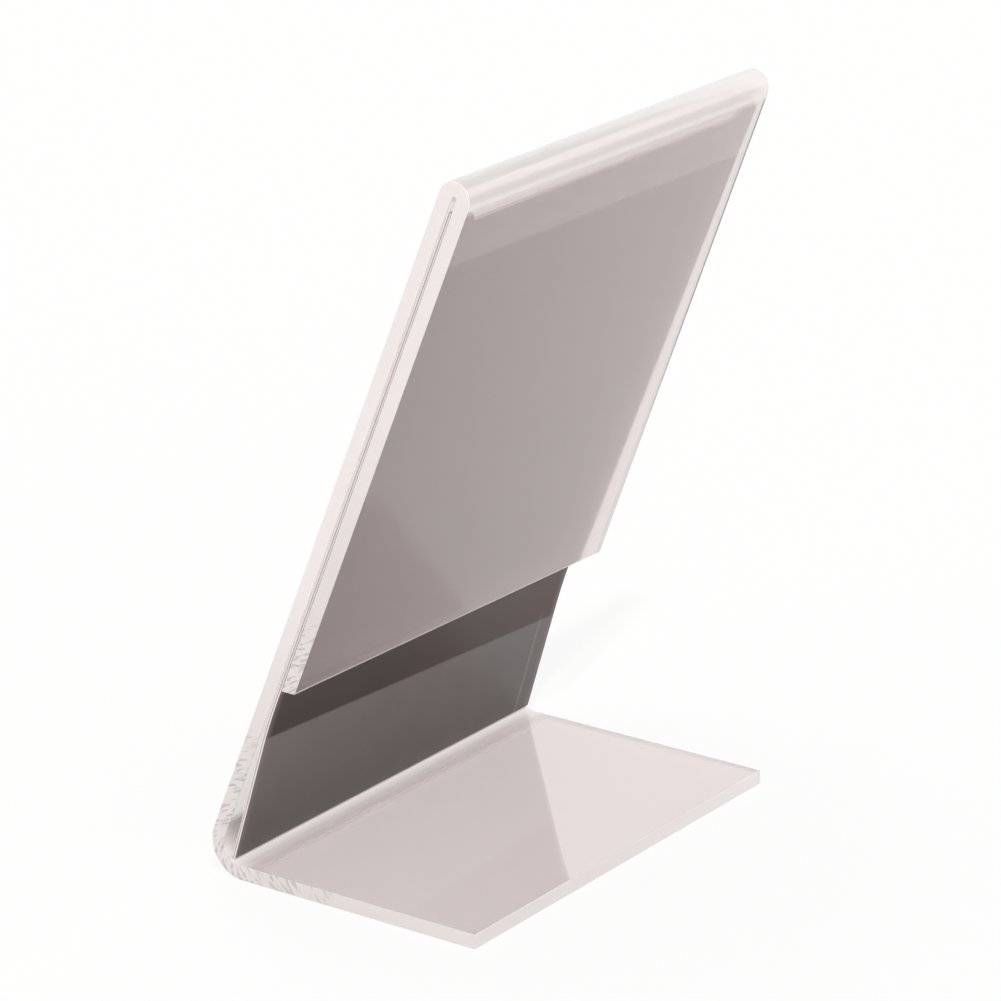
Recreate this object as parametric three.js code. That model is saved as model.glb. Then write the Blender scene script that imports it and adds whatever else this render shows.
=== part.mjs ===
// Slant-back photo holder, bent from one strip of clear acrylic.
// Millimetres. X runs across the picture, the picture faces -Y, +Z is up.
// The origin is on the surface the holder stands on, at the centre of its outline.
//
// Seen from the side the strip starts at the free edge of the base, runs forward, turns up into
// the leaning panel, folds over at the top and comes down behind the panel as a flap. The picture
// and its backing card stand in the pocket between panel and flap. Below the flap they spring
// back a little, because their lower edges rest on the rounded inside of the bend.

import * as THREE from 'three';

// The picture and its card
const pictureWidth = 100;
const pictureLength = 150;
const pictureThickness = 0.25;
const cardThickness = 0.35;

// The acrylic strip
const sheetThickness = 3;
const sideMargin = 0.3;
const leanAngle = THREE.MathUtils.degToRad( 68.2 );
const baseDepth = 62.6;
const bendRadius = 4.3;
const flapEnd = 42.6;
const flapSpread = 2.3;

// Clearances
const pocketClearance = 0.15;
const layerGap = 0.1;
const seatGap = 0.3;
const topGap = 2.85;

// How the picture and card spring back below the flap
const kickAngle = THREE.MathUtils.degToRad( 5.2 );
const kickRadius = 140;
const kickDrop = 2;

// Steps in each rounded stretch
const bendSteps = 28;
const foldSteps = 24;
const kickSteps = 6;
const flapSteps = 12;

// Sizes that follow from those
const holderWidth = pictureWidth + 2 * sideMargin;
const pocketGap = 2 * pocketClearance + pictureThickness + layerGap + cardThickness;
const foldRadius = pocketGap / 2;
const bendTangent = bendRadius / Math.tan( leanAngle / 2 );
const bendOuterRadius = bendRadius + sheetThickness;
const pictureOffset = pocketClearance + pictureThickness / 2;
const cardOffset = pocketClearance + pictureThickness + layerGap + cardThickness / 2;
const kickStart = flapEnd - kickDrop;

// Directions in the side view, where x is the depth and y the height
const upPanel = new THREE.Vector2( Math.cos( leanAngle ), Math.sin( leanAngle ) );
const offPanel = new THREE.Vector2( Math.sin( leanAngle ), - Math.cos( leanAngle ) );
const innerCorner = new THREE.Vector2( 0, sheetThickness );
const bendCentre = new THREE.Vector2( bendTangent, sheetThickness + bendRadius );

// The outline stands with its middle over the origin
const depthMiddle = ( baseDepth + bendTangent - bendOuterRadius ) / 2;

// A place in the side view, up the panel's rear face from the inner corner and off that face
function panelPoint( up, off ) {

	return innerCorner.clone().addScaledVector( upPanel, up ).addScaledVector( offPanel, off );

}

// Unit vector at an angle
function heading( angle ) {

	return new THREE.Vector2( Math.cos( angle ), Math.sin( angle ) );

}

// The outline of a strip of even thickness, followed along its middle from a start point.
// A move is a straight run, or a bend to the right by an angle round an inside radius.
function stripOutline( start, startAngle, thickness, moves ) {

	const left = [];
	const right = [];
	const point = start.clone();
	let angle = startAngle;

	const mark = () => {

		const side = heading( angle + Math.PI / 2 ).multiplyScalar( thickness / 2 );
		left.push( point.clone().add( side ) );
		right.push( point.clone().sub( side ) );

	};

	mark();

	for ( const move of moves ) {

		if ( move.run !== undefined ) {

			const pace = move.run / ( move.steps ?? 1 );

			for ( let i = 0; i < ( move.steps ?? 1 ); i ++ ) {

				point.addScaledVector( heading( angle ), pace );
				mark();

			}

			continue;

		}

		const middleRadius = move.radius + thickness / 2;
		const centre = point.clone().addScaledVector( heading( angle - Math.PI / 2 ), middleRadius );
		const firstAngle = angle;

		for ( let i = 1; i <= move.steps; i ++ ) {

			angle = firstAngle - move.bend * i / move.steps;
			point.copy( centre ).addScaledVector( heading( angle + Math.PI / 2 ), middleRadius );
			mark();

		}

	}

	return new THREE.Shape( [ ...left, ...right.reverse() ] );

}

// A side-view outline carried across the width, centred on X
function acrossWidth( outline, width ) {

	const geometry = new THREE.ExtrudeGeometry( outline, { depth: width, steps: 1, bevelEnabled: false } );
	const sideView = new THREE.Matrix4().makeBasis(
		new THREE.Vector3( 0, 1, 0 ),
		new THREE.Vector3( 0, 0, 1 ),
		new THREE.Vector3( 1, 0, 0 )
	);
	geometry.applyMatrix4( sideView );
	geometry.translate( - width / 2, - depthMiddle, 0 );
	return geometry;

}

// The flap stands further off the panel towards its lower corner on the -X side
function spreadFlap( geometry, foldStart ) {

	const position = geometry.attributes.position;

	for ( let i = 0; i < position.count; i ++ ) {

		const place = new THREE.Vector2( position.getY( i ) + depthMiddle, position.getZ( i ) ).sub( innerCorner );
		const up = place.dot( upPanel );
		const off = place.dot( offPanel );
		const behindPanel = off > pocketGap / 2 && off < pocketGap + 2 * sheetThickness;
		const onFlap = behindPanel && up < foldStart && up > flapEnd - sheetThickness;

		if ( ! onFlap ) continue;

		const across = 0.5 - position.getX( i ) / holderWidth;
		const down = ( foldStart - up ) / ( foldStart - flapEnd );
		const shift = flapSpread * across * down;
		position.setY( i, position.getY( i ) + shift * offPanel.x );
		position.setZ( i, position.getZ( i ) + shift * offPanel.y );

	}

	geometry.computeVertexNormals();
	return geometry;

}

// How a sheet in the pocket runs: up from the bend, through the kick, then flat up the pocket
function pocketSheet( offset, thickness ) {

	const radius = kickRadius - offset;
	const kickCentre = panelPoint( kickStart, kickRadius );
	const lowAngle = leanAngle + kickAngle;
	const kickEnd = kickCentre.clone().addScaledVector( heading( lowAngle + Math.PI / 2 ), radius );

	// The lower run goes down until the sheet's end is just clear of the base, or of the round bend
	const down = heading( lowAngle ).negate();
	const clear = seatGap + thickness / 2;
	const seatRadius = bendRadius - clear;
	const baseRun = ( kickEnd.y - sheetThickness - clear ) / - down.y;
	const landsOnBase = kickEnd.x + down.x * baseRun > bendTangent;
	const fromCentre = kickEnd.clone().sub( bendCentre );
	const along = fromCentre.dot( down );
	const bendRun = - along + Math.sqrt( along * along - fromCentre.lengthSq() + seatRadius * seatRadius );
	const lowRun = landsOnBase ? baseRun : bendRun;
	const highRun = pictureLength - lowRun - radius * kickAngle;

	const start = kickEnd.clone().addScaledVector( down, lowRun );
	const moves = [
		{ run: lowRun },
		{ bend: kickAngle, radius: radius - thickness / 2, steps: kickSteps },
		{ run: highRun }
	];
	return { outline: stripOutline( start, lowAngle, thickness, moves ), top: kickStart + highRun };

}

const picture = pocketSheet( pictureOffset, pictureThickness );
const card = pocketSheet( cardOffset, cardThickness );
const foldStart = Math.max( picture.top, card.top ) + topGap;

function acrylicHolder() {

	const start = new THREE.Vector2( baseDepth, sheetThickness / 2 );
	const moves = [
		{ run: baseDepth - bendTangent },
		{ bend: Math.PI - leanAngle, radius: bendRadius, steps: bendSteps },
		{ run: foldStart - bendTangent },
		{ bend: Math.PI, radius: foldRadius, steps: foldSteps },
		{ run: foldStart - flapEnd, steps: flapSteps }
	];
	const outline = stripOutline( start, Math.PI, sheetThickness, moves );
	return spreadFlap( acrossWidth( outline, holderWidth ), foldStart );

}

const clearAcrylic = new THREE.MeshStandardMaterial( {
	color: 0xf2e9e7, roughness: 0.05, metalness: 0, transparent: true, opacity: 0.35
} );
const darkCard = new THREE.MeshStandardMaterial( { color: 0x463c3a, roughness: 0.3, metalness: 0 } );
const printPaper = new THREE.MeshStandardMaterial( { color: 0xc9bfb6, roughness: 0.4, metalness: 0 } );

const holder = new THREE.Group();

const pieces = [
	[ 'acrylic_holder', acrylicHolder(), clearAcrylic ],
	[ 'backing_card', acrossWidth( card.outline, pictureWidth ), darkCard ],
	[ 'picture_print', acrossWidth( picture.outline, pictureWidth ), printPaper ]
];

for ( const [ name, geometry, material ] of pieces ) {

	const mesh = new THREE.Mesh( geometry, material );
	mesh.name = name;
	holder.add( mesh );

}

export default holder;
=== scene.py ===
import math

import bmesh
import bpy
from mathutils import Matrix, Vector


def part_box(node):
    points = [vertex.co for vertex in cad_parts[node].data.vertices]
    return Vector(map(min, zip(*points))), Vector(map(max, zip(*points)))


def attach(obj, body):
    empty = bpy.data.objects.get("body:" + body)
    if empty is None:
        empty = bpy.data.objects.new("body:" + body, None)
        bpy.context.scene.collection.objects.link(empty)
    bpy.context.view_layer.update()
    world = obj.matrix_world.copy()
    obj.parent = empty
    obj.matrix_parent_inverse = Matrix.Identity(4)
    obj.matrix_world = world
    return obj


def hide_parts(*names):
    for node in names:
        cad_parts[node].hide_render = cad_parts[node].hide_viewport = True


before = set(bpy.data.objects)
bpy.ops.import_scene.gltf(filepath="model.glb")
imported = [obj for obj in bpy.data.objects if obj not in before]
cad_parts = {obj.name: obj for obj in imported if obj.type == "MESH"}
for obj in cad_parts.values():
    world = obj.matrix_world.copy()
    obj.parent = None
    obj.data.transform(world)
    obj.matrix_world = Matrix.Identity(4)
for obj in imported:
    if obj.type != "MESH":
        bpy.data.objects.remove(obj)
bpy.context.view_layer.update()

mm = 0.001
speck = 0.001 * mm              # points nearer than this are one point
hair = 0.01 * mm                # and nearer than this they belong to one edge or face
bevelAngle = math.radians(50)   # edges that turn more than this are rounded
smoothAngle = math.radians(20)  # edges that turn less than this are shaded smooth
noiseSpan = (0.3, 0.7)          # nearly all of a noise lies between these


# Small helpers

def linearColour(hexCode):
    channels = [int(hexCode[i:i + 2], 16) / 255 for i in (1, 3, 5)]
    return [c / 12.92 if c <= 0.04045 else ((c + 0.055) / 1.055) ** 2.4 for c in channels] + [1]


def addNode(material, kind, settings=None, **inputs):
    # an input goes by its name, with underscores for spaces, or by i and its number;
    # a pair (node, output) is a link
    node = material.node_tree.nodes.new(kind)
    for name, value in (settings or {}).items():
        setattr(node, name, value)
    for name, value in inputs.items():
        key = int(name[1:]) if name[0] == "i" and name[1:].isdigit() else name.replace("_", " ")
        if isinstance(value, tuple) and hasattr(value[0], "outputs"):
            material.node_tree.links.new(value[0].outputs[value[1]], node.inputs[key])
        else:
            node.inputs[key].default_value = value
    return node


def newMaterial(name):
    material = bpy.data.materials.new(name)
    material.use_nodes = True
    material.node_tree.nodes.clear()
    return material


def finishMaterial(material, shader):
    addNode(material, "ShaderNodeOutputMaterial", Surface=(shader, 0))
    return material


def setRamp(node, stops):
    ramp = node.color_ramp
    while len(ramp.elements) < len(stops):
        ramp.elements.new(0.5)
    for element, (place, colour) in zip(ramp.elements, stops):
        element.position = place
        element.color = colour
    return node


# Where the strip runs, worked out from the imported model

strip = {
    "sheet": 3.0 * mm,          # how thick the acrylic is
    "leanAngle": math.radians(68.2),
    "bendRadius": 4.3 * mm,     # inside the bend between base and panel
    "pocket": 1.0 * mm,         # between panel and flap
    "flapEnd": 42.6 * mm,       # up the panel from the inner corner
    "flapSpread": 2.3 * mm,     # how far the flap's lower -X corner stands off
    "bendSteps": 56,
    "foldSteps": 48,
    "flapSteps": 14,
    "acrossSteps": 14,
    "endSlant": (1.2 * mm, 2.2 * mm),   # how much shorter the flap's outer face is, +X to -X
    "edgeRound": 0.22 * mm,
}

holderLow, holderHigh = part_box("acrylic_holder")
holderWidth = holderHigh[0] - holderLow[0]
upPanel = Vector((0, math.cos(strip["leanAngle"]), math.sin(strip["leanAngle"])))
offPanel = Vector((0, math.sin(strip["leanAngle"]), -math.cos(strip["leanAngle"])))
bendTangent = strip["bendRadius"] / math.tan(strip["leanAngle"] / 2)
outerRadius = strip["bendRadius"] + strip["sheet"]
innerCorner = Vector((0, holderLow[1] + outerRadius - bendTangent, strip["sheet"]))
baseDepth = holderHigh[1] - innerCorner.y
foldOuter = strip["sheet"] + strip["pocket"] / 2
foldStart = (
    holderHigh[2] - foldOuter - innerCorner.z - offPanel.z * strip["pocket"] / 2
) / upPanel.z


def panelPoint(up, off):
    return innerCorner + upPanel * up + offPanel * off


def heading(angle):
    return Vector((0, math.cos(angle), math.sin(angle)))


def shareAcross(x):
    # 0 at the +X side and 1 at the -X side
    return 0.5 - x / holderWidth


# A strip is made as by hand: a flat grid for its first run, then its end edge is pulled and spun

def selectEnd(piece, along):
    bpy.ops.mesh.select_all(action="DESELECT")
    bpy.context.tool_settings.mesh_select_mode = (False, True, False)
    mesh = bmesh.from_edit_mesh(piece.data)
    reach = max(v.co.dot(along) for v in mesh.verts)
    for edge in mesh.edges:
        if all(v.co.dot(along) > reach - speck for v in edge.verts):
            edge.select_set(True)
    bmesh.update_edit_mesh(piece.data)


def bendStrip(name, width, start, angle, firstRun, moves, acrossSteps):
    # a move is ("run", length, steps) or ("bend", angle, (radius at its middle, steps))
    bpy.ops.object.select_all(action="DESELECT")
    middle = start + heading(angle) * firstRun / 2
    bpy.ops.mesh.primitive_grid_add(
        x_subdivisions=acrossSteps, y_subdivisions=1, size=1, location=middle, rotation=(angle, 0, 0))
    piece = bpy.context.object
    piece.name = piece.data.name = name
    piece.scale = (width, firstRun, 1)
    bpy.ops.object.transform_apply(location=True, rotation=True, scale=True)
    bpy.ops.object.mode_set(mode="EDIT")
    selectEnd(piece, heading(angle))
    point = start + heading(angle) * firstRun
    for kind, amount, detail in moves:
        if kind == "run":
            for step in range(detail):
                bpy.ops.mesh.extrude_region_move(
                    TRANSFORM_OT_translate={"value": heading(angle) * amount / detail})
            point = point + heading(angle) * amount
            continue
        turn, (radius, steps) = amount, detail      # a bend to the right, seen from +X
        side = heading(angle - math.pi / 2)
        centre = point + side * radius
        bpy.ops.mesh.spin(steps=steps, angle=turn, center=centre, axis=(1, 0, 0))
        angle = angle - turn
        point = centre - heading(angle - math.pi / 2) * radius
    bpy.ops.object.mode_set(mode="OBJECT")
    return piece


def addModifier(piece, kind, **settings):
    bpy.ops.object.select_all(action="DESELECT")
    piece.select_set(True)
    bpy.context.view_layer.objects.active = piece
    bpy.ops.object.modifier_add(type=kind)
    modifier = piece.modifiers[-1]
    for name, value in settings.items():
        setattr(modifier, name, value)
    bpy.ops.object.modifier_apply(modifier=modifier.name)


def recordAlong(piece, runs):
    # the distance followed along the strip, by which the materials place their marks and bands
    layer = piece.data.attributes.new("along", "FLOAT", "POINT")
    for vertex, value in zip(piece.data.vertices, runs):
        layer.data[vertex.index].value = value


# The holder

def spreadFlap(piece):
    flapOff = strip["pocket"] + strip["sheet"] / 2
    flapStop = strip["flapEnd"] - strip["sheet"]
    flapRun = foldStart - flapStop
    for vertex in piece.data.vertices:
        place = vertex.co - innerCorner
        up = place.dot(upPanel)
        if abs(place.dot(offPanel) - flapOff) > hair or not 0 < up - flapStop < flapRun:
            continue
        down = (foldStart - up) / (foldStart - strip["flapEnd"])
        vertex.co += offPanel * strip["flapSpread"] * shareAcross(vertex.co.x) * down


def alongStrip(place):
    # how far a point of the middle surface is from the base's free edge, followed along the strip
    middle = strip["sheet"] / 2
    bendMiddle = strip["bendRadius"] + middle
    foldMiddle = strip["pocket"] / 2 + middle
    toBend = baseDepth - bendTangent
    toPanel = toBend + bendMiddle * (math.pi - strip["leanAngle"])
    toFold = toPanel + foldStart - bendTangent
    fromBend = place - innerCorner - Vector((0, bendTangent, strip["bendRadius"]))
    up, off = (place - innerCorner).dot(upPanel), (place - innerCorner).dot(offPanel)
    if fromBend.y > 0 and place.z < strip["sheet"]:
        return holderHigh[1] - place.y
    if up < bendTangent:
        return toBend + bendMiddle * math.atan2(-fromBend.y, -fromBend.z)
    if up > foldStart:
        return toFold + foldMiddle * math.atan2(up - foldStart, strip["pocket"] / 2 - off)
    if off < 0:
        return toPanel + up - bendTangent
    return toFold + foldMiddle * math.pi + foldStart - up


stripLength = alongStrip(panelPoint(strip["flapEnd"], strip["pocket"] + strip["sheet"] / 2))


def recordDepth(piece):
    # which side of the sheet a point is on; the first half of the points is the outer side
    layer = piece.data.attributes.new("depth", "FLOAT", "POINT")
    half = len(piece.data.vertices) // 2
    for index, entry in enumerate(layer.data):
        entry.value = strip["sheet"] / 2 if index < half else -strip["sheet"] / 2


def trueSides(piece):
    # the strip's sides are sawn flat, so nothing leans past them where the flap twists
    for vertex in piece.data.vertices:
        vertex.co.x = min(max(vertex.co.x, holderLow[0]), holderHigh[0])


def slantFlapEnd(piece):
    # the flap's lower end was cut at a slant, so its outer face stops a little higher
    near, far = strip["endSlant"]
    nearlyOuter = strip["pocket"] + 0.9 * strip["sheet"]
    for vertex in piece.data.vertices:
        place = vertex.co - innerCorner
        atEnd = abs(place.dot(upPanel) - strip["flapEnd"]) < 0.5 * mm
        if atEnd and place.dot(offPanel) > nearlyOuter:
            vertex.co += upPanel * (near + (far - near) * shareAcross(vertex.co.x))


def polishFlapEnd(piece):
    # only the sides were left as sawn, the flap's lower end is as clear as the faces
    for face in piece.data.polygons:
        facesDown = face.normal.dot(upPanel) < -0.7
        up = (face.center - innerCorner).dot(upPanel)
        if facesDown and abs(up - strip["flapEnd"]) < strip["endSlant"][1]:
            face.material_index = 0


def makeHolder():
    half = strip["sheet"] / 2
    moves = [
        ("bend", math.pi - strip["leanAngle"], (strip["bendRadius"] + half, strip["bendSteps"])),
        ("run", foldStart - bendTangent, 1),
        ("bend", math.pi, (strip["pocket"] / 2 + half, strip["foldSteps"])),
        ("run", foldStart - strip["flapEnd"], strip["flapSteps"]),
    ]
    start = Vector((0, holderHigh[1], half))
    firstRun = baseDepth - bendTangent
    piece = bendStrip(
        "bent_acrylic", holderWidth, start, math.pi, firstRun, moves, strip["acrossSteps"])
    recordAlong(piece, [alongStrip(v.co) for v in piece.data.vertices])
    spreadFlap(piece)
    piece.data.materials.append(clearAcrylic())
    piece.data.materials.append(sawnAcrylic())
    addModifier(
        piece, "SOLIDIFY", thickness=strip["sheet"], offset=0, use_even_offset=True,
        use_rim=True, material_offset_rim=1)
    recordDepth(piece)
    trueSides(piece)
    slantFlapEnd(piece)
    polishFlapEnd(piece)
    addModifier(
        piece, "BEVEL", width=strip["edgeRound"], segments=2, limit_method="ANGLE",
        angle_limit=bevelAngle, material=1)
    bpy.ops.object.shade_smooth_by_angle(angle=smoothAngle)
    addModifier(piece, "WEIGHTED_NORMAL", weight=100, keep_sharp=True)
    return piece


# Acrylic: cast PMMA sheet, poured between glass plates, so its faces are perfectly smooth and clear.
# Lengths along the strip start at the base's free edge, and those "AtEnd" at the flap's lower end.

acrylicLook = {
    "tint": "#FBF8F7",
    "flapTint": "#F5EBE9",      # the flap is tinted a little pinker than the panel
    "baseShadeTint": "#EAE1E0",      # painted shade: the base darker, as the floor under it lies in shade
    "foldTint": "#F8F1F0",      # the heated stretches
    "edgeTint": "#F7EFED",
    "edgeShaded": "#EAE3E1",    # painted shade: the base's cut edges and the flap's lower end, darker low down
    "ior": 1.49,
    "clarity": 0.9,             # the rest is the fine haze of handled plastic
    "foldClarity": 0.4,         # the stretch heated for the tight fold is cloudy
    "foldFade": 1.5 * mm,       # over what length its cloud fades to either side
    "bendClarity": 0.1,         # the bend was heated longest, and is cloudier still
    "bendFade": 4.0 * mm,
    "flapFade": 2.0 * mm,       # below the fold, the length in which the flap's own look begins
    "flapHaze": (0.0, 0.17),    # further haze on the flap, at its +X and its -X side
    "flapHazeX": (50 * mm, -50 * mm),
    "highHaze": 0.03,           # haze that grows up the flap
    "heatHaze": 0.09,           # haze the hot wire left on the flap below the fold
    "heatReach": 13.0 * mm,     # how far down the flap it reaches
    "heatEdge": 0.6 * mm,       # how softly it ends
    "flapScuff": 0.12,          # the flap's roughness, as it is what rubs on shelves
    "endHighlight": 0.5 * mm,        # painted highlight: a bright line along the flap's lower outer edge
    "endHighlightEdge": 0.1 * mm,       # how softly it ends
    "endHighlightClarity": 0.25,
    "farRimReflection": 0.65 * mm,        # painted reflection: a grey line along the -X rim of the flap, the card's edge seen in the flap's side
    "farRimReflectionEdge": 0.325 * mm,   # how softly it ends
    "farRimReflectionReach": (47.5 * mm, 95.0 * mm),  # down the flap: where it starts to fade, and is gone
    "farRimReflectionTint": "#837C79",
    "edgeClarity": 0.15,        # a sawn face scatters most of the light
    "edgeRoughness": 0.4,
    "farSideOpen": 0.5,         # how far light passes the thin frosting of the -X sides
    "farSideX": (-50 * mm, -49 * mm),
    "shadowTint": "#EAE6E5",    # what one face lets through of a lamp's light
    "edgeShadow": "#C4C0BF",    # a sawn face takes more of a lamp's light
    "chipSize": 0.8 * mm,
    "chipTone": "#CBC6C8",
    "chipSlant": 0.9,           # how far a chip leans along the strip for each length across it
    "chipStretch": 0.4,         # below 1, a chip is longer across the sheet than along it
    "chipLevels": (0.54, 0.62),     # where in the noise a chip begins and is whole
    "chipDepth": 0.3 * mm,
    "chipRelief": 0.5,          # how much of that depth the bump shows
    "chipsAtBend": (30 * mm, 40 * mm, 84 * mm, 96 * mm),    # none, full, full, none
    "chipsAtEnd": (20 * mm, 12 * mm),                       # none, full
    "shadedToBend": (85 * mm, 130 * mm),                    # shaded, lit
    "shadedAtEnd": (70 * mm, 30 * mm),                      # lit, shaded
}


def letLampsThrough(material, acrylic, tint):
    # without this, a lamp's light would not reach the sheets and the floor behind the acrylic
    path = addNode(material, "ShaderNodeLightPath")
    clear = addNode(material, "ShaderNodeBsdfTransparent", Color=linearColour(tint))
    return addNode(
        material, "ShaderNodeMixShader", i0=(path, "Is Shadow Ray"), i1=(acrylic, 0),
        i2=(clear, 0))


def clearAcrylic():
    # The cast faces are as smooth as the glass they were poured on. The stretches heated for the
    # bend and the fold are cloudy, and the flap is a little hazy and scuffed.
    # The base's darker tint is painted shade, the bright line along the flap's lower outer edge a
    # painted highlight, and the grey line along its -X rim a painted reflection.
    material = newMaterial("cast_acrylic_polished")
    along = addNode(material, "ShaderNodeAttribute", {"attribute_name": "along"})
    place = addNode(material, "ShaderNodeTexCoord")
    split = addNode(material, "ShaderNodeSeparateXYZ", Vector=(place, "Object"))
    half = strip["sheet"] / 2
    foldArc = (strip["pocket"] / 2 + half) * math.pi
    foldFrom = alongStrip(panelPoint(foldStart, -half))
    flapTop = foldFrom + foldArc
    bendArc = (strip["bendRadius"] + half) * (math.pi - strip["leanAngle"])
    bendFrom = baseDepth - bendTangent

    def cloudOver(start, length, fade):
        # 0 outside a heated stretch, rising to 1 inside it
        away = addNode(
            material, "ShaderNodeMath", {"operation": "SUBTRACT"},
            i0=(along, "Fac"), i1=start + length / 2)
        reach = addNode(material, "ShaderNodeMath", {"operation": "ABSOLUTE"}, i0=(away, 0))
        return addNode(
            material, "ShaderNodeMapRange", {"interpolation_type": "SMOOTHSTEP"},
            Value=(reach, 0), From_Min=length / 2, From_Max=length / 2 + fade,
            To_Min=1.0, To_Max=0.0)

    atBend = cloudOver(bendFrom, bendArc, acrylicLook["bendFade"])
    atFold = cloudOver(foldFrom, foldArc, acrylicLook["foldFade"])
    cloud = addNode(
        material, "ShaderNodeMath", {"operation": "ADD"}, i0=(atBend, 0), i1=(atFold, 0))
    onFlap = addNode(
        material, "ShaderNodeMapRange", {"interpolation_type": "SMOOTHSTEP"},
        Value=(along, "Fac"), From_Min=flapTop, From_Max=flapTop + acrylicLook["flapFade"])
    hazeFrom, hazeTo = acrylicLook["flapHazeX"]
    haze = addNode(
        material, "ShaderNodeMapRange", Value=(split, "X"), From_Min=hazeFrom, From_Max=hazeTo,
        To_Min=acrylicLook["flapHaze"][0], To_Max=acrylicLook["flapHaze"][1])
    heatEnd = flapTop + acrylicLook["heatReach"]
    heated = addNode(
        material, "ShaderNodeMapRange", {"interpolation_type": "SMOOTHSTEP"},
        Value=(along, "Fac"), From_Min=heatEnd - acrylicLook["heatEdge"],
        From_Max=heatEnd + acrylicLook["heatEdge"], To_Min=acrylicLook["heatHaze"], To_Max=0.0)
    higher = addNode(
        material, "ShaderNodeMapRange", Value=(along, "Fac"), From_Min=flapTop,
        From_Max=flapTop + foldStart - strip["flapEnd"], To_Min=acrylicLook["highHaze"], To_Max=0.0)
    haze = addNode(
        material, "ShaderNodeMath", {"operation": "ADD"}, i0=(haze, 0), i1=(heated, 0))
    haze = addNode(
        material, "ShaderNodeMath", {"operation": "ADD"}, i0=(haze, 0), i1=(higher, 0))
    flapHaze = addNode(
        material, "ShaderNodeMath", {"operation": "MULTIPLY"}, i0=(haze, 0), i1=(onFlap, 0))
    clear = addNode(
        material, "ShaderNodeMath", {"operation": "SUBTRACT"},
        i0=acrylicLook["clarity"], i1=(flapHaze, 0))
    clarity = addNode(
        material, "ShaderNodeMapRange", Value=(atFold, 0), To_Min=(clear, 0),
        To_Max=acrylicLook["foldClarity"])
    clarity = addNode(
        material, "ShaderNodeMapRange", Value=(atBend, 0), To_Min=(clarity, 0),
        To_Max=acrylicLook["bendClarity"])
    depth = addNode(material, "ShaderNodeAttribute", {"attribute_name": "depth"})
    outerFace = addNode(
        material, "ShaderNodeMath", {"operation": "GREATER_THAN"}, i0=(depth, "Fac"), i1=0.0)
    # painted highlight: a bright line along the flap's lower outer edge
    endHighlightFrom = stripLength - acrylicLook["endHighlight"]
    highlightMask = addNode(
        material, "ShaderNodeMapRange", {"interpolation_type": "SMOOTHSTEP"},
        Value=(along, "Fac"), From_Min=endHighlightFrom - acrylicLook["endHighlightEdge"],
        From_Max=endHighlightFrom + acrylicLook["endHighlightEdge"], To_Max=(outerFace, 0))
    clarity = addNode(
        material, "ShaderNodeMapRange", Value=(highlightMask, 0), To_Min=(clarity, 0),
        To_Max=acrylicLook["endHighlightClarity"])
    scuff = addNode(
        material, "ShaderNodeMath", {"operation": "MULTIPLY"},
        i0=(onFlap, 0), i1=acrylicLook["flapScuff"])
    # the base's darker tint is painted shade
    pastBase = addNode(
        material, "ShaderNodeMapRange", {"interpolation_type": "SMOOTHSTEP"},
        Value=(along, "Fac"), From_Min=bendFrom, From_Max=bendFrom + bendArc)
    tint = addNode(
        material, "ShaderNodeMix", {"data_type": "RGBA"}, i0=(pastBase, 0),
        i6=linearColour(acrylicLook["baseShadeTint"]), i7=linearColour(acrylicLook["tint"]))
    tint = addNode(
        material, "ShaderNodeMix", {"data_type": "RGBA"}, i0=(onFlap, 0), i6=(tint, 2),
        i7=linearColour(acrylicLook["flapTint"]))
    tint = addNode(
        material, "ShaderNodeMix", {"data_type": "RGBA"}, i0=(cloud, 0), i6=(tint, 2),
        i7=linearColour(acrylicLook["foldTint"]))
    # painted reflection: a grey line along the flap's -X rim
    rimSide = holderLow[0] + acrylicLook["farRimReflection"]
    atRim = addNode(
        material, "ShaderNodeMapRange", {"interpolation_type": "SMOOTHSTEP"},
        Value=(split, "X"), From_Min=rimSide, From_Max=rimSide + acrylicLook["farRimReflectionEdge"],
        To_Min=(outerFace, 0), To_Max=0.0)
    rimFades, rimGone = acrylicLook["farRimReflectionReach"]
    rimFade = addNode(
        material, "ShaderNodeMapRange", {"interpolation_type": "SMOOTHSTEP"},
        Value=(along, "Fac"), From_Min=flapTop + rimFades, From_Max=flapTop + rimGone,
        To_Min=(onFlap, 0), To_Max=0.0)
    rim = addNode(
        material, "ShaderNodeMath", {"operation": "MULTIPLY"}, i0=(atRim, 0), i1=(rimFade, 0))
    tint = addNode(
        material, "ShaderNodeMix", {"data_type": "RGBA"}, i0=(rim, 0), i6=(tint, 2),
        i7=linearColour(acrylicLook["farRimReflectionTint"]))
    acrylic = addNode(
        material, "ShaderNodeBsdfPrincipled", Base_Color=(tint, 2), Roughness=(scuff, 0),
        IOR=acrylicLook["ior"], Transmission_Weight=(clarity, 0))
    return finishMaterial(material, letLampsThrough(material, acrylic, acrylicLook["shadowTint"]))


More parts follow.
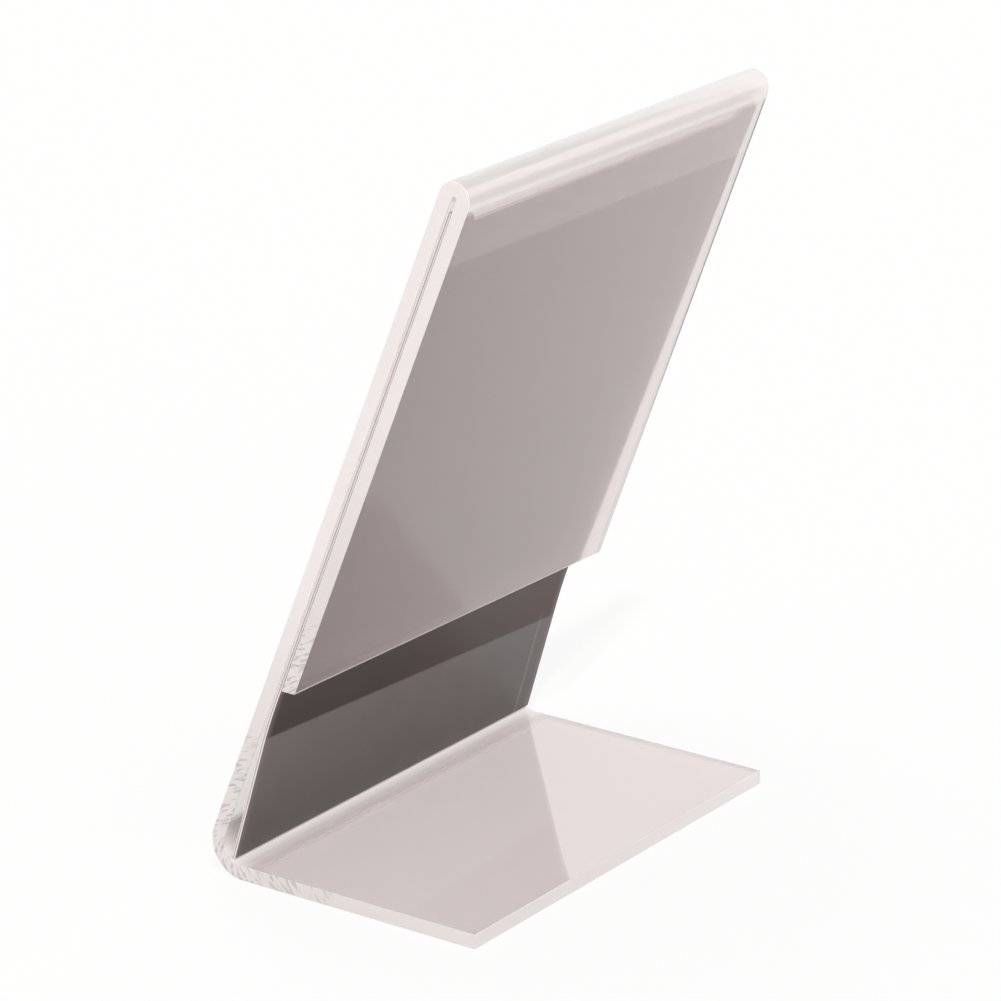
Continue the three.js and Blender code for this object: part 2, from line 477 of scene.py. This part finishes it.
def sawnAcrylic():
    # The sides were sawn and flamed, so they are evenly frosted. The flame missed the stretch
    # round the bend and the flap's end, where slanted chips of the saw still show.
    material = newMaterial("cast_acrylic_sawn_edge")
    along = addNode(material, "ShaderNodeAttribute", {"attribute_name": "along"})
    depth = addNode(material, "ShaderNodeAttribute", {"attribute_name": "depth"})
    slanted = addNode(
        material, "ShaderNodeMath", {"operation": "MULTIPLY_ADD"},
        i0=(depth, "Fac"), i1=acrylicLook["chipSlant"], i2=(along, "Fac"))
    spread = addNode(
        material, "ShaderNodeMath", {"operation": "MULTIPLY"},
        i0=(depth, "Fac"), i1=acrylicLook["chipStretch"])
    place = addNode(material, "ShaderNodeCombineXYZ", X=(slanted, 0), Y=(spread, 0))
    marks = addNode(
        material, "ShaderNodeTexNoise", Vector=(place, 0), Scale=1 / acrylicLook["chipSize"],
        Detail=2.0, Roughness=0.5)
    chips = addNode(
        material, "ShaderNodeMapRange", {"interpolation_type": "SMOOTHSTEP"}, Value=(marks, 0),
        From_Min=acrylicLook["chipLevels"][0], From_Max=acrylicLook["chipLevels"][1])
    share = addNode(
        material, "ShaderNodeMath", {"operation": "DIVIDE"}, i0=(along, "Fac"), i1=stripLength)

    def alongStops(fromStart, fromEnd, colours):
        places = [length / stripLength for length in fromStart]
        places += [1 - length / stripLength for length in fromEnd]
        return list(zip(places, colours))

    none, full = (0, 0, 0, 1), (1, 1, 1, 1)
    missed = setRamp(addNode(material, "ShaderNodeValToRGB", Fac=(share, 0)), alongStops(
        acrylicLook["chipsAtBend"], acrylicLook["chipsAtEnd"], [none, full, full, none, none, full]))
    left = addNode(
        material, "ShaderNodeMath", {"operation": "MULTIPLY"}, i0=(chips, 0), i1=(missed, 0))
    # painted shade: the cut faces darker near the base and at the flap's lower end
    shadedTone, litTone = linearColour(acrylicLook["edgeShaded"]), linearColour(acrylicLook["edgeTint"])
    shadedAlong = setRamp(addNode(material, "ShaderNodeValToRGB", Fac=(share, 0)), alongStops(
        acrylicLook["shadedToBend"], acrylicLook["shadedAtEnd"], [shadedTone, litTone, litTone, shadedTone]))
    tone = addNode(
        material, "ShaderNodeMix", {"data_type": "RGBA"}, i0=(left, 0),
        i6=(shadedAlong, 0), i7=linearColour(acrylicLook["chipTone"]))
    bump = addNode(
        material, "ShaderNodeBump", Height=(left, 0), Strength=acrylicLook["chipRelief"],
        Distance=acrylicLook["chipDepth"])
    where = addNode(material, "ShaderNodeTexCoord")
    split = addNode(material, "ShaderNodeSeparateXYZ", Vector=(where, "Object"))
    frosting = addNode(
        material, "ShaderNodeMapRange", Value=(split, "X"), From_Min=acrylicLook["farSideX"][0],
        From_Max=acrylicLook["farSideX"][1], To_Min=1 - acrylicLook["farSideOpen"], To_Max=1.0)
    acrylic = addNode(
        material, "ShaderNodeBsdfPrincipled", Base_Color=(tone, 2),
        Roughness=acrylicLook["edgeRoughness"], IOR=acrylicLook["ior"],
        Transmission_Weight=acrylicLook["edgeClarity"], Alpha=(frosting, 0), Normal=(bump, 0))
    return finishMaterial(material, letLampsThrough(material, acrylic, acrylicLook["edgeShadow"]))


# The backing card and the print

cardSheet = {
    "length": 150 * mm,
    "thickness": 0.35 * mm,
    "offset": 0.675 * mm,       # its middle, off the panel's rear face
    "kickAngle": math.radians(5.2),     # how much it springs back below the flap
    "kickRadius": 140 * mm,
    "kickDrop": 2.0 * mm,       # the spring starts this far below the flap's end
    "kickSteps": 16,
    "dip": (-43 * mm, 44.5 * mm),   # where the card's top edge is cut lower, across X
    "dipDepth": 1.6 * mm,
    "dipRun": 1.0 * mm,         # the length over which the cut goes down at either end
    "edgeRound": 0.05 * mm,
}
printSheet = dict(cardSheet, thickness=0.25 * mm, offset=0.275 * mm)


def cutDip(piece, top, sheet):
    # the card and the print were trimmed together by hand, lower between their two top corners
    low, high = sheet["dip"]
    bpy.ops.object.mode_set(mode="EDIT")
    for x in (low - sheet["dipRun"], low, high, high + sheet["dipRun"]):
        bpy.ops.mesh.select_all(action="SELECT")
        bpy.ops.mesh.bisect(plane_co=(x, 0, 0), plane_no=(1, 0, 0))
    bpy.ops.mesh.select_all(action="DESELECT")
    bpy.context.tool_settings.mesh_select_mode = (True, False, False)
    mesh = bmesh.from_edit_mesh(piece.data)
    for vertex in mesh.verts:
        atTop = (vertex.co - innerCorner).dot(upPanel) > top - hair
        vertex.select_set(atTop and low - hair < vertex.co.x < high + hair)
    bmesh.update_edit_mesh(piece.data)
    bpy.ops.transform.translate(value=-upPanel * sheet["dipDepth"])
    bpy.ops.object.mode_set(mode="OBJECT")


def sheetAlong(place, start, highRun, lowRun, radius, sheet):
    # how far a point of the sheet is from its bottom edge, followed along the sheet
    down = (start - place).dot(upPanel)
    if down <= highRun + speck:
        return sheet["length"] - down
    centre = start - upPanel * highRun + offPanel * radius
    reach = place - centre
    reach.x = 0
    turned = math.atan2(-reach.dot(upPanel), -reach.dot(offPanel))
    if turned <= sheet["kickAngle"] + speck and abs(reach.length - radius) < hair:
        return lowRun + radius * (sheet["kickAngle"] - turned)
    return 0.0


def makePocketSheet(name, node, sheet, materials):
    low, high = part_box(node)
    half = sheet["thickness"] / 2
    top = (high[2] - innerCorner.z - offPanel.z * (sheet["offset"] - half)) / upPanel.z
    kickStart = strip["flapEnd"] - sheet["kickDrop"]
    radius = sheet["kickRadius"] - sheet["offset"]
    highRun = top - kickStart
    lowRun = sheet["length"] - highRun - radius * sheet["kickAngle"]
    # it is followed from the top down, so its spring below the flap turns to the left
    start = panelPoint(top, sheet["offset"])
    moves = [
        ("bend", -sheet["kickAngle"], (-radius, sheet["kickSteps"])),
        ("run", lowRun, 1),
    ]
    piece = bendStrip(
        name, high[0] - low[0], start, strip["leanAngle"] - math.pi, highRun, moves, 1)
    cutDip(piece, top, sheet)
    recordAlong(piece, [
        sheetAlong(v.co, start, highRun, lowRun, radius, sheet) for v in piece.data.vertices])
    for material in materials:
        piece.data.materials.append(material)
    addModifier(
        piece, "SOLIDIFY", thickness=sheet["thickness"], offset=0, use_rim=True,
        material_offset_rim=1)
    addModifier(
        piece, "BEVEL", width=sheet["edgeRound"], segments=1, limit_method="ANGLE",
        angle_limit=bevelAngle)
    bpy.ops.object.shade_smooth_by_angle(angle=smoothAngle)
    addModifier(piece, "WEIGHTED_NORMAL", weight=100, keep_sharp=True)
    return piece


def coverFront(piece):
    # the side that faces the panel has the third material
    for face in piece.data.polygons:
        if face.normal.dot(offPanel) < -0.9:
            face.material_index = 2


cardLook = {
    "shadowBandAndFront": "#291716",          # painted shadow of the flap's end on the card, at its +X side; also the tone of the side under the print
    "shadowBandFar": "#4A3432",       # and at its -X side, lighter where the painted shadow is shallower
    "litUnderFlap": "#624C49",    # painted light on the card under the flap, just above the band
    "litNearTop": "#836C69",     # painted light under the flap, lighter near the top
    "litOpenTop": "#6A6462",      # painted light in the open, just under the dark band
    # painted shade in the open, darker down at the card's bottom edge
    "shadedOpenBottom": "#58524F",
    "shadowBandX": (10 * mm, -50 * mm),   # between these X the band's painted shadow goes over to its -X tone
    "bandLow": 25.6 * mm,       # along the card from its bottom edge, at the middle of its width
    "bandLowEdge": 0.4 * mm,    # how softly it ends
    "bandHigh": 39.0 * mm,
    "bandHighEdge": 0.5 * mm,
    "bandTilt": 0.054,          # how much further down it reaches for each length towards -X
    "rimReflection": "#857C79",        # painted reflection: the card lighter along its sides
    "rimReflectionWidth": 2.2 * mm,
    "rimReflectionShare": 0.5,         # how much of the painted reflection shows at the very edge
    "highlightLineFromSide": 5.0 * mm,     # a painted highlight line runs up the card near its -X side
    "highlightLineWidth": 0.7 * mm,
    "highlightLineShare": 0.6,
    "highlightLineFade": 4.0 * mm,     # below the band, the length in which it appears
    "mottle": 6.0 * mm,         # the breadth of the clouds in the coat's tone
    "mottleTones": (0.95, 1.05),
    "fibre": 0.4 * mm,          # real fibres are ten times finer and wouldn't show
    "fibreDepth": 0.05 * mm,
    "fibreRelief": 0.03,        # how much of that depth shows through the coat
    "roughness": 0.32,
    "specular": 0.25,
    "pulp": "#EADEDB",
    "pulpRoughness": 0.8,
}


def satinCoat(material, place, tone):
    # calendered coat over dyed fibre: the tone clouds a little, and the sheen follows the fibres
    mottle = addNode(
        material, "ShaderNodeTexNoise", Vector=(place, "Object"), Scale=1 / cardLook["mottle"],
        Detail=6.0)
    shade = addNode(
        material, "ShaderNodeMapRange", Value=(mottle, 0), From_Min=noiseSpan[0],
        From_Max=noiseSpan[1], To_Min=cardLook["mottleTones"][0],
        To_Max=cardLook["mottleTones"][1])
    clouded = addNode(
        material, "ShaderNodeVectorMath", {"operation": "SCALE"}, Vector=tone, Scale=(shade, 0))
    fibre = addNode(
        material, "ShaderNodeTexNoise", Vector=(place, "Object"), Scale=1 / cardLook["fibre"],
        Detail=3.0)
    bump = addNode(
        material, "ShaderNodeBump", Height=(fibre, 0), Strength=cardLook["fibreRelief"],
        Distance=cardLook["fibreDepth"])
    return addNode(
        material, "ShaderNodeBsdfPrincipled", Base_Color=(clouded, 0),
        Roughness=cardLook["roughness"], Specular_IOR_Level=cardLook["specular"],
        Normal=(bump, 0))


def darkCard():
    # Coated card: dark dyed fibre under a thin calendered coat, so a satin sheen over fine mottle.
    # The tones are painted light and shade: a dark band of painted shadow from the flap's end,
    # painted light in the open below it and under the flap, painted shade towards the bottom edge,
    # and a painted reflection and highlight line near the sides.
    material = newMaterial("coated_card_dark")
    place = addNode(material, "ShaderNodeTexCoord")
    along = addNode(material, "ShaderNodeAttribute", {"attribute_name": "along"})
    split = addNode(material, "ShaderNodeSeparateXYZ", Vector=(place, "Object"))
    level = addNode(
        material, "ShaderNodeMath", {"operation": "MULTIPLY_ADD"},
        i0=(split, "X"), i1=-cardLook["bandTilt"], i2=(along, "Fac"))
    low, high = cardLook["bandLow"], cardLook["bandHigh"]
    # painted light in the open below the band, with painted shade darker towards the bottom
    share = addNode(
        material, "ShaderNodeMapRange", Value=(level, 0), From_Min=0.0, From_Max=low)
    inTheOpen = setRamp(addNode(material, "ShaderNodeValToRGB", Fac=(share, 0)), [
        (0.0, linearColour(cardLook["shadedOpenBottom"])), (1.0, linearColour(cardLook["litOpenTop"]))])
    # the dark band is a painted shadow of the flap's end
    inBand = addNode(
        material, "ShaderNodeMapRange", {"interpolation_type": "SMOOTHSTEP"},
        Value=(level, 0), From_Min=low - cardLook["bandLowEdge"],
        From_Max=low + cardLook["bandLowEdge"])
    aboveBand = addNode(
        material, "ShaderNodeMapRange", {"interpolation_type": "SMOOTHSTEP"},
        Value=(along, "Fac"), From_Min=high - cardLook["bandHighEdge"],
        From_Max=high + cardLook["bandHighEdge"])
    # the painted shadow is shallower towards -X
    farSide = addNode(
        material, "ShaderNodeMapRange", Value=(split, "X"), From_Min=cardLook["shadowBandX"][0],
        From_Max=cardLook["shadowBandX"][1])
    shadowBandAndFront = addNode(
        material, "ShaderNodeMix", {"data_type": "RGBA"}, i0=(farSide, 0),
        i6=linearColour(cardLook["shadowBandAndFront"]), i7=linearColour(cardLook["shadowBandFar"]))
    lower = addNode(
        material, "ShaderNodeMix", {"data_type": "RGBA"}, i0=(inBand, 0), i6=(inTheOpen, 0),
        i7=(shadowBandAndFront, 2))
    # painted light on the card under the flap, lighter towards the top
    length = cardSheet["length"]
    height = addNode(
        material, "ShaderNodeMath", {"operation": "DIVIDE"}, i0=(along, "Fac"), i1=length)
    covered = setRamp(addNode(material, "ShaderNodeValToRGB", Fac=(height, 0)), [
        (high / length, linearColour(cardLook["litUnderFlap"])),
        (1.0, linearColour(cardLook["litNearTop"]))])
    tone = addNode(
        material, "ShaderNodeMix", {"data_type": "RGBA"}, i0=(aboveBand, 0), i6=(lower, 2),
        i7=(covered, 0))
    # painted reflection: the card lighter along its sides
    sideways = addNode(material, "ShaderNodeMath", {"operation": "ABSOLUTE"}, i0=(split, "X"))
    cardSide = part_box("backing_card")[1][0]
    rim = addNode(
        material, "ShaderNodeMapRange", {"interpolation_type": "SMOOTHSTEP"}, Value=(sideways, 0),
        From_Min=cardSide - cardLook["rimReflectionWidth"], From_Max=cardSide,
        To_Max=cardLook["rimReflectionShare"])
    # painted highlight line up the card near its -X side, only below the band
    fromHighlightLine = addNode(
        material, "ShaderNodeMath", {"operation": "ADD"},
        i0=(split, "X"), i1=cardSide - cardLook["highlightLineFromSide"])
    nearHighlightLine = addNode(
        material, "ShaderNodeMath", {"operation": "ABSOLUTE"}, i0=(fromHighlightLine, 0))
    highlightLine = addNode(
        material, "ShaderNodeMapRange", {"interpolation_type": "SMOOTHSTEP"},
        Value=(nearHighlightLine, 0), From_Min=0.0, From_Max=cardLook["highlightLineWidth"],
        To_Min=cardLook["highlightLineShare"], To_Max=0.0)
    highlightLineBelow = addNode(
        material, "ShaderNodeMapRange", {"interpolation_type": "SMOOTHSTEP"},
        Value=(along, "Fac"), From_Min=low - cardLook["highlightLineFade"], From_Max=low,
        To_Min=1.0, To_Max=0.0)
    highlightLine = addNode(
        material, "ShaderNodeMath", {"operation": "MULTIPLY"}, i0=(highlightLine, 0), i1=(highlightLineBelow, 0))
    # the card's painted reflection along its sides and its painted highlight line
    highlightMask = addNode(
        material, "ShaderNodeMath", {"operation": "MAXIMUM"}, i0=(rim, 0), i1=(highlightLine, 0))
    tone = addNode(
        material, "ShaderNodeMix", {"data_type": "RGBA"}, i0=(highlightMask, 0), i6=(tone, 2),
        i7=linearColour(cardLook["rimReflection"]))
    return finishMaterial(material, satinCoat(material, place, (tone, 2)))


def coveredCard():
    # the card's other side, under the print: the same coat in the dark band's tone, without the
    # painted light and shade
    material = newMaterial("coated_card_covered")
    place = addNode(material, "ShaderNodeTexCoord")
    tone = linearColour(cardLook["shadowBandAndFront"])[:3]
    return finishMaterial(material, satinCoat(material, place, tone))


def paleCore():
    # the guillotine's cut shows the undyed pulp inside the sheet: pale and quite matt
    material = newMaterial("cut_pulp_edge")
    pulp = addNode(
        material, "ShaderNodeBsdfPrincipled", Base_Color=linearColour(cardLook["pulp"]),
        Roughness=cardLook["pulpRoughness"])
    return finishMaterial(material, pulp)


printLook = {
    "border": 4 * mm,
    "skyHigh": "#8DB6DA",
    "skyLow": "#F8DCB8",
    "skySpan": (0.45, 0.95),    # from low to high, as shares of the sheet
    # each ridge: its height as a share of the sheet, its swing, the breadth of its hills, its tone
    "ridges": [
        (0.50, 0.060, 46 * mm, "#C3CCD6"),
        (0.42, 0.075, 33 * mm, "#CBBFB6"),
        (0.31, 0.070, 27 * mm, "#D9C6A8"),
        (0.17, 0.045, 38 * mm, "#F0E4D0"),
    ],
    "ridgeApart": 0.37,         # each ridge is read this much further on in the noise
    "ridgeEdge": 0.003,         # how softly a ridge ends, as a share of the sheet
    "paper": "#F4F1EC",
    "pebble": 0.5 * mm,         # lustre paper is embossed with a fine pebble
    "pebbleDepth": 0.05 * mm,
    "pebbleRelief": 0.1,
    "roughness": 0.35,
    "backTones": ("#D6D1CC", "#DED9D4"),
    "backCloud": 3.0 * mm,      # the breadth of the clouds in the back's tone
    "backRoughness": 0.45,
}


def printedSide():
    # Inkjet print on lustre photo paper: soft gloss over a pebbled coat. The view is made up.
    material = newMaterial("inkjet_print_lustre")
    place = addNode(material, "ShaderNodeTexCoord")
    split = addNode(material, "ShaderNodeSeparateXYZ", Vector=(place, "Object"))
    along = addNode(material, "ShaderNodeAttribute", {"attribute_name": "along"})
    height = addNode(
        material, "ShaderNodeMath", {"operation": "DIVIDE"},
        i0=(along, "Fac"), i1=printSheet["length"])
    view = setRamp(addNode(material, "ShaderNodeValToRGB", Fac=(height, 0)), [
        (printLook["skySpan"][0], linearColour(printLook["skyLow"])),
        (printLook["skySpan"][1], linearColour(printLook["skyHigh"]))])
    for number, (level, swing, breadth, tone) in enumerate(printLook["ridges"]):
        line = addNode(
            material, "ShaderNodeCombineXYZ", X=(split, "X"), Y=number * printLook["ridgeApart"])
        hills = addNode(
            material, "ShaderNodeTexNoise", Vector=(line, 0), Scale=1 / breadth, Detail=3.0)
        crest = addNode(
            material, "ShaderNodeMath", {"operation": "MULTIPLY_ADD"},
            i0=(hills, 0), i1=2 * swing, i2=level - swing)
        above = addNode(
            material, "ShaderNodeMath", {"operation": "SUBTRACT"}, i0=(height, 0), i1=(crest, 0))
        ground = addNode(
            material, "ShaderNodeMapRange", {"interpolation_type": "SMOOTHSTEP"},
            Value=(above, 0), From_Min=-printLook["ridgeEdge"], From_Max=printLook["ridgeEdge"],
            To_Min=1.0, To_Max=0.0)
        view = addNode(
            material, "ShaderNodeMix", {"data_type": "RGBA"}, i0=(ground, 0),
            i6=(view, 0 if number == 0 else 2), i7=linearColour(tone))
    sideways = addNode(material, "ShaderNodeMath", {"operation": "ABSOLUTE"}, i0=(split, "X"))
    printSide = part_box("picture_print")[1][0]
    fromMiddle = addNode(
        material, "ShaderNodeMath", {"operation": "SUBTRACT"},
        i0=(along, "Fac"), i1=printSheet["length"] / 2)
    upDown = addNode(material, "ShaderNodeMath", {"operation": "ABSOLUTE"}, i0=(fromMiddle, 0))
    leftRight = addNode(
        material, "ShaderNodeMath", {"operation": "GREATER_THAN"},
        i0=(sideways, 0), i1=printSide - printLook["border"])
    topBottom = addNode(
        material, "ShaderNodeMath", {"operation": "GREATER_THAN"},
        i0=(upDown, 0), i1=printSheet["length"] / 2 - printLook["border"])
    border = addNode(
        material, "ShaderNodeMath", {"operation": "MAXIMUM"}, i0=(leftRight, 0), i1=(topBottom, 0))
    tone = addNode(
        material, "ShaderNodeMix", {"data_type": "RGBA"}, i0=(border, 0), i6=(view, 2),
        i7=linearColour(printLook["paper"]))
    pebble = addNode(
        material, "ShaderNodeTexVoronoi", Vector=(place, "Object"), Scale=1 / printLook["pebble"])
    bump = addNode(
        material, "ShaderNodeBump", Height=(pebble, 0), Strength=printLook["pebbleRelief"],
        Distance=printLook["pebbleDepth"])
    ink = addNode(
        material, "ShaderNodeBsdfPrincipled", Base_Color=(tone, 2),
        Roughness=printLook["roughness"], Normal=(bump, 0))
    return finishMaterial(material, ink)


def paperBack():
    # The back of photo paper is bare resin coat over pulp: off-white, slightly satin
    material = newMaterial("photo_paper_back")
    place = addNode(material, "ShaderNodeTexCoord")
    cloud = addNode(
        material, "ShaderNodeTexNoise", Vector=(place, "Object"),
        Scale=1 / printLook["backCloud"], Detail=4.0)
    tone = setRamp(addNode(material, "ShaderNodeValToRGB", Fac=(cloud, 0)), [
        (level, linearColour(hexCode))
        for level, hexCode in zip(noiseSpan, printLook["backTones"])])
    paper = addNode(
        material, "ShaderNodeBsdfPrincipled", Base_Color=(tone, 0),
        Roughness=printLook["backRoughness"])
    return finishMaterial(material, paper)


# The floor, the light and the camera

stageLook = {
    "floorTone": "#F3F2F1",
    "floorSize": 6.0,           # metres
    "floorDrop": 0.1 * mm,      # so that the base's lower face doesn't share the floor's plane
    "shownWhite": 0.8,          # how much of the floor the eye and the acrylic see as plain white
    "skyForLight": 0.8,         # the world's strength as a light; to the eye it is white
    "lampStrength": 1.2,
    "lampSpread": math.radians(1.6),
    "lampAzimuth": math.radians(45),    # from +Y towards +X
    "lampElevation": math.radians(53),
}
cameraLook = {
    "place": (0.74956, 0.53447, 0.39289),       # metres, behind and above the holder
    "direction": (-0.76920, -0.54639, -0.33133),
    "focalPixels": 4961,        # in the photograph's 1001 pixel frame
    "framePixels": 1001,
    "sensor": 36.0,             # millimetres, as Blender counts it
    "clip": (0.05, 50.0),       # metres
    "bounces": 64,              # light crosses many faces between the panel and the flap
}


def seenDirectly(material):
    # 1 for what is seen straight, mirrored or through the acrylic, and 0 for light on a matt surface
    path = addNode(material, "ShaderNodeLightPath")
    first = addNode(
        material, "ShaderNodeMath", {"operation": "MAXIMUM"},
        i0=(path, "Is Camera Ray"), i1=(path, "Is Glossy Ray"))
    seen = addNode(
        material, "ShaderNodeMath", {"operation": "MAXIMUM"},
        i0=(first, 0), i1=(path, "Is Transmission Ray"))
    unscattered = addNode(
        material, "ShaderNodeMath", {"operation": "LESS_THAN"}, i0=(path, "Diffuse Depth"), i1=0.5)
    return addNode(
        material, "ShaderNodeMath", {"operation": "MULTIPLY"}, i0=(seen, 0), i1=(unscattered, 0))


def makeFloor():
    bpy.ops.object.select_all(action="DESELECT")
    bpy.ops.mesh.primitive_plane_add(
        size=stageLook["floorSize"], location=(0, 0, -stageLook["floorDrop"]))
    floor = bpy.context.object
    floor.name = "floor"
    material = newMaterial("white_table")
    tone = linearColour(stageLook["floorTone"])
    plain = addNode(material, "ShaderNodeBsdfDiffuse", Color=tone)
    white = addNode(material, "ShaderNodeEmission", Color=(1, 1, 1, 1), Strength=1.0)
    share = addNode(
        material, "ShaderNodeMath", {"operation": "MULTIPLY"},
        i0=(seenDirectly(material), 0), i1=stageLook["shownWhite"])
    shown = addNode(material, "ShaderNodeMixShader", i0=(share, 0), i1=(plain, 0), i2=(white, 0))
    finishMaterial(material, shown)
    floor.data.materials.append(material)


def makeLight():
    world = bpy.data.worlds.new("studio")
    bpy.context.scene.world = world
    world.use_nodes = True
    world.node_tree.nodes.clear()
    dim = addNode(
        world, "ShaderNodeBackground", Color=(1, 1, 1, 1), Strength=stageLook["skyForLight"])
    white = addNode(world, "ShaderNodeBackground", Color=(1, 1, 1, 1), Strength=1.0)
    mixed = addNode(
        world, "ShaderNodeMixShader", i0=(seenDirectly(world), 0), i1=(dim, 0), i2=(white, 0))
    addNode(world, "ShaderNodeOutputWorld", Surface=(mixed, 0))
    azimuth, elevation = stageLook["lampAzimuth"], stageLook["lampElevation"]
    towards = Vector((
        math.sin(azimuth) * math.cos(elevation),
        math.cos(azimuth) * math.cos(elevation),
        math.sin(elevation)))
    bpy.ops.object.light_add(type="SUN", location=towards)
    lamp = bpy.context.object
    lamp.data.energy = stageLook["lampStrength"]
    lamp.data.angle = stageLook["lampSpread"]
    lamp.rotation_mode = "QUATERNION"
    lamp.rotation_quaternion = (-towards).to_track_quat("-Z", "Y")


def makeCamera():
    scene = bpy.context.scene
    bpy.ops.object.camera_add(location=cameraLook["place"])
    camera = bpy.context.object
    camera.rotation_mode = "QUATERNION"
    camera.rotation_quaternion = Vector(cameraLook["direction"]).to_track_quat("-Z", "Y")
    camera.data.sensor_width = cameraLook["sensor"]
    camera.data.lens = cameraLook["focalPixels"] * cameraLook["sensor"] / cameraLook["framePixels"]
    camera.data.clip_start, camera.data.clip_end = cameraLook["clip"]
    scene.camera = camera
    scene.view_settings.view_transform = "Standard"
    scene.cycles.max_bounces = cameraLook["bounces"]
    scene.cycles.transmission_bounces = cameraLook["bounces"]
    scene.cycles.glossy_bounces = cameraLook["bounces"]
    scene.cycles.transparent_max_bounces = cameraLook["bounces"]


makeCamera()
makeFloor()
makeLight()
print("camera, floor and light are ready")

holderPiece = makeHolder()
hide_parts("acrylic_holder")
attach(holderPiece, "holder")
print("the acrylic is bent:", len(holderPiece.data.polygons), "faces")

cardPiece = makePocketSheet(
    "dark_card", "backing_card", cardSheet, [darkCard(), paleCore(), coveredCard()])
coverFront(cardPiece)
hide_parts("backing_card")
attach(cardPiece, "card")
printPiece = makePocketSheet(
    "photo_print", "picture_print", printSheet,
    [paperBack(), bpy.data.materials["cut_pulp_edge"], printedSide()])
coverFront(printPiece)
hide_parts("picture_print")
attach(printPiece, "print")
print("the card and the print are in the pocket")
